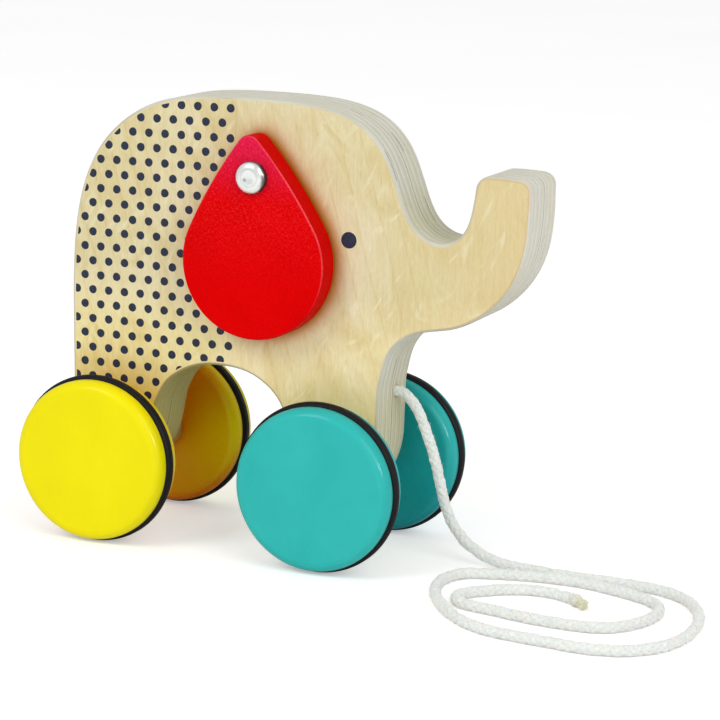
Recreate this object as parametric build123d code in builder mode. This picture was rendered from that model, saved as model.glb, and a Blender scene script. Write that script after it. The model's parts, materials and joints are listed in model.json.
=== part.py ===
from build123d import *
import os

os.makedirs("parts", exist_ok=True)

# ---------------------------------------------------------------------------
# Pull-along elephant.  Millimetres, +Z up, +X forward (the trunk), +Y to the
# elephant's left.  The origin lies on the floor, midway between the two axles,
# on the body's middle plane.
# ---------------------------------------------------------------------------

# body: two birch plywood boards glued face to face
board_t = 10.85            # thickness of one board
edge_round = 1.1           # rounding of the outer edges
seam_bevel = 0.2           # small bevel along the glue line
trunk_corner_back = 4.2    # corner radii at the trunk's blunt end
trunk_corner_front = 3.6

# axles: beech dowels
axle_x = 35.1              # each axle's distance from the origin, along X
axle_z = 24.5              # axle height above the floor
axle_r = 3.0
axle_bevel = 0.4
axle_bore_r = axle_r + 0.07    # running bore in the boards

# wheels, rubber rings and spacers
wheel_y = 25.85            # middle plane of a wheel, from the body's middle plane
wheel_w = 12.6             # wheel width
wheel_r = 23.5             # wooden rim radius
wheel_round = 3.0          # rounding of the wheel's shoulders
groove_w = 3.6             # groove for the rubber ring
groove_r = wheel_r - 1.2   # radius of the groove's floor
groove_lip_round = 0.3
socket_r = axle_r + 0.02   # blind socket for the dowel in a wheel
socket_depth = 8.0
tyre_r = axle_z            # crest of the rubber ring, which touches the floor
tyre_bore_r = groove_r + 0.02
tyre_w = groove_w - 0.1
tyre_round = 1.3
spacer_r = 5.5             # wooden spacer between wheel and board
spacer_bore_r = axle_r + 0.05
spacer_round = 0.8
side_play = 0.3            # free play between spacer and board

wheel_in = wheel_y - wheel_w / 2               # inner face of a wheel
axle_half = wheel_in + socket_depth            # half the axle's length
spacer_len = wheel_in - board_t - side_play

# ears
pivot_x, pivot_z = 9.85, 109.6   # the rivet's axis
ear_x, ear_z = 9.0, 109.3        # on the ear's own middle line, level with the rivet
ear_lean = 3.2             # degrees, the ear's lower end leans forward
ear_t = 8.2
ear_drop = 24.3            # ear origin to the centre of the round lower lobe
ear_lobe_r = 21.9
ear_tip_r = 3.8
ear_top = 12.1             # ear origin to the tip
ear_side_r = 138.0         # radius of the slightly bowed sides
ear_round = 0.8

# ear rivet, cap and washers
shank_r = 2.0
board_rivet_bore_r = shank_r + 0.05
ear_bore_r = shank_r + 0.08
washer_bore_r = shank_r + 0.1
washer_r = 4.5
washer_t = 1.0
head_r = 4.7
head_h = 2.35
head_rim_h = 0.5           # straight rim below the head's rounded shoulder
crown_r = head_r - 2.4     # where the shoulder meets the dished middle
dish_depth = 0.22
cap_socket_r = shank_r + 0.02
cap_socket_depth = 1.2
gap = 0.05                 # running gap on each side of an ear

ear_in = board_t + washer_t + gap
ear_out = ear_in + ear_t
head_y = ear_out + gap                         # underside of the head and cap
shank_end = head_y + cap_socket_depth

# cord
cord_r = 1.65
cord_y, cord_z = 2.6, 48.3
cord_hole_r = cord_r + 0.1
cord_hole_depth = 18.0
leg_front_x = 46.4
swivel_x = 49.2                # the cord bends here, just outside the leg
touch_x, touch_y = 86.0, 0.4   # the cord meets the floor here
bend_gap = 1.05                # room for the flat ends to swing past each other

HANDS = (("right", -1), ("left", 1))           # name, sign of Y
ENDS = (("rear", -axle_x), ("front", axle_x))  # name, axle position along X


def save(builder, name):
    """Label a finished piece and write its STEP file."""
    builder.part.label = name
    export_step(builder.part, f"parts/{name}.step")


def outward_plane(side, x, y, z):
    """Plane at a point, facing away from the body: side -1 is right, +1 left."""
    return Plane(origin=(x, y, z), x_dir=(1, 0, 0), z_dir=(0, side, 0))


def save_placed(blank, seat, name):
    """Set a turned blank on its seat plane and save it."""
    with BuildPart() as placed:
        add(seat * blank.part)
    save(placed, name)


def circles_of_radius(builder, radius):
    return builder.edges().filter_by(GeomType.CIRCLE).filter_by(
        lambda e: abs(e.radius - radius) < 1e-3
    )


# ---------------------------------------------------------------------------
# Elephant profile: points are (X, Z), clockwise from the rear leg
# ---------------------------------------------------------------------------

# back, forehead, the hollow above the trunk, the trunk's inner side
back_and_face = [
    (-51.6, 62.0), (-51.8, 73.0), (-51.5, 84.0), (-50.2, 95.5), (-47.2, 106.2),
    (-41.8, 115.6), (-34.0, 122.9), (-24.0, 127.9), (-12.0, 130.1), (3.0, 130.7),
    (18.0, 130.5), (29.5, 129.1), (38.4, 125.6), (44.8, 119.7), (48.9, 112.0),
    (52.0, 103.9), (55.2, 98.2), (59.4, 95.0), (64.2, 94.2), (68.4, 96.1),
    (71.2, 100.3), (72.5, 106.0), (73.0, 109.6),
]
# blunt end of the trunk: back corner, middle, front corner
trunk_end = [(73.48, 114.0), (81.2, 114.3), (89.5, 113.8)]
# front of the trunk, chin, and the curve down to the front leg
trunk_and_chest = [
    (89.6, 106.0), (89.3, 98.5), (87.8, 90.4), (84.6, 83.4), (80.0, 77.7),
    (74.0, 73.1), (67.2, 70.2), (60.6, 68.9), (55.4, 67.2), (51.2, 64.0),
    (48.4, 59.2), (47.0, 53.2), (46.45, 46.0),
]
front_foot = [
    (46.4, 36.0), (45.4, 29.0), (42.3, 22.4), (37.6, 18.5), (32.4, 17.4),
    (27.0, 18.8), (22.6, 22.6), (20.0, 27.4), (18.9, 32.0),
]
# arch between the legs
belly_arch = [
    (18.18, 36.0), (17.2, 40.3), (15.0, 44.6), (11.0, 48.5), (4.6, 51.6),
    (-3.0, 52.5), (-10.6, 51.6), (-17.0, 48.5), (-21.0, 44.6), (-23.2, 40.3),
    (-24.18, 36.0),
]
rear_foot = [
    (-24.9, 32.0), (-26.0, 27.4), (-28.6, 22.6), (-33.0, 18.8), (-38.2, 17.4),
    (-43.2, 18.6), (-47.6, 22.6), (-50.1, 28.8), (-51.0, 38.0),
]

with BuildSketch(Plane.XZ) as elephant:
    with BuildLine():
        Line(rear_foot[-1], back_and_face[0])
        Spline(*back_and_face, tangents=((-0.025, 1.0), (0.11, 1.0)))
        Line(back_and_face[-1], trunk_end[0])
        ThreePointArc(*trunk_end)
        Line(trunk_end[-1], trunk_and_chest[0])
        Spline(*trunk_and_chest, tangents=((0.01, -1.0), (-0.005, -1.0)))
        Line(trunk_and_chest[-1], front_foot[0])
        Spline(*front_foot, tangents=((-0.005, -1.0), (-0.18, 1.0)))
        Line(front_foot[-1], belly_arch[0])
        Spline(*belly_arch, tangents=((-0.18, 1.0), (-0.18, -1.0)))
        Line(belly_arch[-1], rear_foot[0])
        Spline(*rear_foot, tangents=((-0.18, -1.0), (-0.025, 1.0)))
    make_face()
    # the trunk's back corner, then its front corner
    corners = elephant.vertices().filter_by(lambda v: v.Y > 113.0)
    fillet(corners.sort_by(Axis.X)[0], radius=trunk_corner_back)
    corners = elephant.vertices().filter_by(lambda v: v.Y > 112.0 and v.X > 85.0)
    fillet(corners.sort_by(Axis.Y)[-1], radius=trunk_corner_front)


# ---------------------------------------------------------------------------
# Body boards, with bores for the axles and the ear rivet
# ---------------------------------------------------------------------------
def body_board(side):
    outer_y = side * board_t
    outer_index, glue_index = (0, -1) if side < 0 else (-1, 0)
    with BuildPart() as board:
        with BuildSketch(Plane.XZ):
            add(elephant.sketch_local)
        extrude(amount=-outer_y)     # the XZ plane faces -Y
        with Locations(
            outward_plane(side, -axle_x, outer_y, axle_z),
            outward_plane(side, axle_x, outer_y, axle_z),
        ):
            Hole(radius=axle_bore_r)
        with Locations(outward_plane(side, pivot_x, outer_y, pivot_z)):
            Hole(radius=board_rivet_bore_r)
        outer_face = board.faces().filter_by(Axis.Y).sort_by(Axis.Y)[outer_index]
        fillet(outer_face.outer_wire().edges(), radius=edge_round)
        glue_face = board.faces().filter_by(Axis.Y).sort_by(Axis.Y)[glue_index]
        chamfer(glue_face.outer_wire().edges(), length=seam_bevel)
        if side > 0:
            # blind hole for the cord, in the front edge of the front leg
            with Locations(Plane(origin=(leg_front_x, cord_y, cord_z), z_dir=(1, 0, 0))):
                Hole(radius=cord_hole_r, depth=cord_hole_depth)
    return board


for hand, side in HANDS:
    save(body_board(side), f"body_board_{hand}")


# ---------------------------------------------------------------------------
# Axles: plain dowels, glued into the wheels at both ends
# ---------------------------------------------------------------------------
def axle(x):
    with BuildPart() as dowel:
        with BuildSketch(Plane.XZ.offset(-axle_half)):
            with Locations((x, axle_z)):
                Circle(axle_r)
        extrude(amount=2 * axle_half)
        chamfer(dowel.edges().filter_by(GeomType.CIRCLE), length=axle_bevel)
    return dowel


for end, x in ENDS:
    save(axle(x), f"{end}_axle")

# ---------------------------------------------------------------------------
# Wheels, rubber rings and spacers.  Each is a turned piece, modelled on its own
# axis with its outer face up, then set on the axle.
# ---------------------------------------------------------------------------
with BuildPart() as wheel_blank:
    with BuildSketch(Plane.XZ):
        with BuildLine():
            Polyline(
                (0, wheel_w / 2),
                (wheel_r, wheel_w / 2),
                (wheel_r, groove_w / 2),
                (groove_r, groove_w / 2),
                (groove_r, -groove_w / 2),
                (wheel_r, -groove_w / 2),
                (wheel_r, -wheel_w / 2),
                (socket_r, -wheel_w / 2),
                (socket_r, -wheel_w / 2 + socket_depth),
                (0, -wheel_w / 2 + socket_depth),
                close=True,
            )
        make_face()
    revolve(axis=Axis.Z)
    shoulders = circles_of_radius(wheel_blank, wheel_r).sort_by(Axis.Z)
    fillet([shoulders[0], shoulders[-1]], radius=wheel_round)
    lips = circles_of_radius(wheel_blank, wheel_r).filter_by(
        lambda e: abs(abs(e.center().Z) - groove_w / 2) < 1e-3
    )
    fillet(lips, radius=groove_lip_round)

with BuildPart() as tyre_blank:
    with BuildSketch(Plane.XZ):
        with Locations(((tyre_bore_r + tyre_r) / 2, 0)):
            Rectangle(tyre_r - tyre_bore_r, tyre_w)
    revolve(axis=Axis.Z)
    fillet(circles_of_radius(tyre_blank, tyre_r), radius=tyre_round)

with BuildPart() as spacer_blank:
    # sits against the wheel's inner face
    with BuildSketch(Plane.XY.offset(-wheel_w / 2 - spacer_len)):
        Circle(spacer_r)
        Circle(spacer_bore_r, mode=Mode.SUBTRACT)
    extrude(amount=spacer_len)
    fillet(circles_of_radius(spacer_blank, spacer_r), radius=spacer_round)

for end, x in ENDS:
    for hand, side in HANDS:
        seat = outward_plane(side, x, side * wheel_y, axle_z)
        save_placed(wheel_blank, seat, f"wheel_{end}_{hand}")
        save_placed(tyre_blank, seat, f"tyre_{end}_{hand}")
        save_placed(spacer_blank, seat, f"axle_spacer_{end}_{hand}")

# ---------------------------------------------------------------------------
# Ears: a teardrop that hangs from the rivet
# ---------------------------------------------------------------------------
# Each bowed side is an arc that bulges outwards and touches the lobe and the tip
# circles, both of which lie inside it.  These points are for the ear's +x side.
tip_y = ear_top - ear_tip_r
span = ear_drop + tip_y
arc_dy = (
    (ear_side_r - ear_lobe_r) ** 2 - (ear_side_r - ear_tip_r) ** 2 + span**2
) / (2 * span)
arc_dx = ((ear_side_r - ear_lobe_r) ** 2 - arc_dy**2) ** 0.5
arc_centre = Vector(-arc_dx, arc_dy - ear_drop)


def on_side_arc(target):
    """Point of the side arc in the direction of the target from its centre."""
    return arc_centre + (target - arc_centre).normalized() * ear_side_r


def mirrored(point):
    return Vector(-point.X, point.Y)


lobe_tangent = on_side_arc(Vector(0, -ear_drop))
tip_tangent = on_side_arc(Vector(0, tip_y))
side_middle = on_side_arc((lobe_tangent + tip_tangent) * 0.5)

ear_plane = Plane(
    origin=(ear_x, 0, ear_z),
    x_dir=Vector(1, 0, 0).rotate(Axis.Y, -ear_lean),
    z_dir=(0, -1, 0),
)
bore_at = ear_plane.to_local_coords(Vector(pivot_x, 0, pivot_z))

with BuildSketch(ear_plane) as teardrop:
    with BuildLine():
        ThreePointArc(lobe_tangent, (0, -ear_drop - ear_lobe_r), mirrored(lobe_tangent))
        ThreePointArc(mirrored(lobe_tangent), mirrored(side_middle), mirrored(tip_tangent))
        ThreePointArc(mirrored(tip_tangent), (0, ear_top), tip_tangent)
        ThreePointArc(tip_tangent, side_middle, lobe_tangent)
    make_face()
    with Locations((bore_at.X, bore_at.Y)):
        Circle(ear_bore_r, mode=Mode.SUBTRACT)


def ear(start):
    """An ear extruded towards -Y from a plane at Y = -start."""
    with BuildPart() as blank:
        with BuildSketch(ear_plane.offset(start)):
            add(teardrop.sketch_local)
        extrude(amount=ear_t)
        right_face, left_face = blank.faces().filter_by(Axis.Y).sort_by(Axis.Y)
        fillet(
            right_face.outer_wire().edges() + left_face.outer_wire().edges(),
            radius=ear_round,
        )
    return blank


save(ear(ear_in), "ear_right")
save(ear(-ear_out), "ear_left")


# ---------------------------------------------------------------------------
# Ear rivet: one nickel-plated rivet through both boards and both ears, its head
# on the right, closed by a matching cap on the left, with a washer between each
# ear and its board
# ---------------------------------------------------------------------------
def headed_blank(inner_r, end_z):
    """A head turned about Z, with a shank below it or a socket in its underside.

    inner_r is the radius of the shank or socket, end_z the height of its end.
    """
    top_z = head_y + head_h
    with BuildPart() as blank:
        with BuildSketch(Plane.XZ):
            with BuildLine():
                Polyline(
                    (0, end_z),
                    (inner_r, end_z),
                    (inner_r, head_y),
                    (head_r, head_y),
                    (head_r, head_y + head_rim_h),
                )
                # rounded shoulder
                Spline(
                    (head_r, head_y + head_rim_h), (head_r - 0.35, head_y + 1.45),
                    (head_r - 1.25, head_y + 2.12), (crown_r, top_z),
                    tangents=((0, 1), (-1, 0.05)),
                )
                # shallow dish in the middle
                Spline(
                    (crown_r, top_z), (0.75, top_z - 0.12), (0, top_z - dish_depth),
                    tangents=((-1, 0.0), (-1, 0)),
                )
                Line((0, top_z - dish_depth), (0, end_z))
            make_face()
        revolve(axis=Axis.Z)
    return blank


def ear_washer(side):
    with BuildPart() as washer:
        with BuildSketch(outward_plane(side, pivot_x, side * board_t, pivot_z)):
            Circle(washer_r)
            Circle(washer_bore_r, mode=Mode.SUBTRACT)
        extrude(amount=washer_t)
    return washer


rivet_blank = headed_blank(shank_r, -shank_end)
save_placed(rivet_blank, outward_plane(-1, pivot_x, 0, pivot_z), "ear_rivet")
cap_blank = headed_blank(cap_socket_r, shank_end)
save_placed(cap_blank, outward_plane(1, pivot_x, 0, pivot_z), "ear_rivet_cap")
for hand, side in HANDS:
    save(ear_washer(side), f"ear_washer_{hand}")

# ---------------------------------------------------------------------------
# Cord: one braided cotton cord, in the three lengths that move apart.  The
# anchored end is glued in the leg, the hanging length swings at the leg, and
# the free length lies on the floor in a flat spiral.
# ---------------------------------------------------------------------------
hole_floor_x = leg_front_x - cord_hole_depth
with BuildPart() as cord_anchor:
    with BuildSketch(Plane(origin=(hole_floor_x, cord_y, cord_z), z_dir=(1, 0, 0))):
        Circle(cord_r)
    extrude(amount=swivel_x - bend_gap - hole_floor_x)
save(cord_anchor, "cord_anchor")

# hanging length: upper part (X, Z) in the plane of the hole's axis,
# then lower part (X, Y, Z) curving inwards to the floor
lead_upper = [
    (x, cord_y, z) for x, z in (
        (swivel_x, cord_z), (52.9, 44.0), (56.2, 37.3), (58.7, 31.0),
        (60.6, 24.4), (62.4, 17.8),
    )
]
lead_lower = [
    lead_upper[-1], (65.0, 2.5, 11.8), (69.6, 2.2, 6.6), (76.8, 1.4, 2.9),
    (touch_x, touch_y, cord_r),
]
swivel_dir = (0.8, 0, -0.55)
lead_joint_dir = (0.33, 0, -0.94)

with BuildPart() as cord_lead:
    with BuildLine():
        Spline(*lead_upper, tangents=(swivel_dir, lead_joint_dir))
        Spline(*lead_lower, tangents=(lead_joint_dir, (1.0, -0.1, -0.03)))
    with BuildSketch(Plane(origin=lead_upper[0], z_dir=swivel_dir)):
        Circle(cord_r)
    sweep()
save(cord_lead, "cord_lead")

# free length: (X, Y) on the floor, spiralling inwards
coil_points = [
    (x, y, cord_r) for x, y in (
        (touch_x + bend_gap, touch_y - 0.1),
        (97.5, -0.9), (108.5, -1.1), (118.5, -0.8), (127.6, -1.8), (136.0, -5.8),
        (142.8, -14.0), (147.0, -25.4), (148.2, -36.8), (146.6, -47.6), (141.8, -56.4),
        (134.2, -61.8), (125.2, -63.3), (115.6, -62.5), (106.4, -61.6), (98.4, -60.0),
        (90.8, -55.8), (83.6, -48.8), (77.2, -39.6), (73.0, -29.3), (72.2, -19.6),
        (75.4, -12.6), (81.6, -9.6), (89.9, -7.1), (99.6, -5.6), (109.5, -5.9),
        (118.8, -8.6), (127.0, -12.0), (133.0, -17.0), (135.2, -25.6), (132.8, -35.6),
        (127.2, -42.8), (119.6, -45.3), (111.2, -45.3), (103.0, -44.4), (95.0, -42.6),
        (87.4, -41.2), (82.2, -38.2), (81.3, -32.9), (85.2, -27.2), (91.2, -22.1),
        (98.4, -19.3), (105.6, -20.0), (111.0, -22.6), (115.4, -27.0),
    )
]
coil_start_dir = (1.0, -0.1, 0)

with BuildPart() as cord_coil:
    with BuildLine():
        Spline(*coil_points, tangents=(coil_start_dir, (0.7, -0.72, 0)))
    with BuildSketch(Plane(origin=coil_points[0], z_dir=coil_start_dir)):
        Circle(cord_r)
    sweep()
save(cord_coil, "cord_coil")
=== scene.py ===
"""Looks for a pull-along elephant on four wheels with a braided cord.

The elephant faces +X with its right side towards -Y, and the wheels stand on
z = 0.  The running gear, ears and rivets keep their CAD shapes and get
materials.  The two plywood boards and the cord are rebuilt as finer meshes:
boards with plies, glue lines and print, and a cord braided from eight strands.
Lengths are in millimetres and become metres when a mesh is made.
"""
import json
import math

import bpy
import numpy as np
from mathutils import Matrix, Vector
from mathutils.geometry import delaunay_2d_cdt


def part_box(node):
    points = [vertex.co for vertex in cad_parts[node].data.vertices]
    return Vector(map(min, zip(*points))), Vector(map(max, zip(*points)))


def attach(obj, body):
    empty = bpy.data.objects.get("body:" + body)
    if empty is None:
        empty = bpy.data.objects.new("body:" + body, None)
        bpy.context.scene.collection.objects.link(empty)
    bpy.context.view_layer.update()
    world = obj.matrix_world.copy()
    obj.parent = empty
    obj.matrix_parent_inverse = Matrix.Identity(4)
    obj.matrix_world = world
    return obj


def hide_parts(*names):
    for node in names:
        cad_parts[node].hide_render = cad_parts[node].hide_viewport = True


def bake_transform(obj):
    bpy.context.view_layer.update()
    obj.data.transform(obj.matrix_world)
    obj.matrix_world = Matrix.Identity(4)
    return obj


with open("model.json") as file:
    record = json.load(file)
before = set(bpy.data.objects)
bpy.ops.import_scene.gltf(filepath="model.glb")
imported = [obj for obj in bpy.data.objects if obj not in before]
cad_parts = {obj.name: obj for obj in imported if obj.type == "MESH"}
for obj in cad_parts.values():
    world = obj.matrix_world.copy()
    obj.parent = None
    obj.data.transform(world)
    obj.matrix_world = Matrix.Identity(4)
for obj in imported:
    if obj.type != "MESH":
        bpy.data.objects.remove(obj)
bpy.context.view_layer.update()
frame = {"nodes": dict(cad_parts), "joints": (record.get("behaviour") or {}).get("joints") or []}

MM = 0.001
scene = bpy.context.scene

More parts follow.
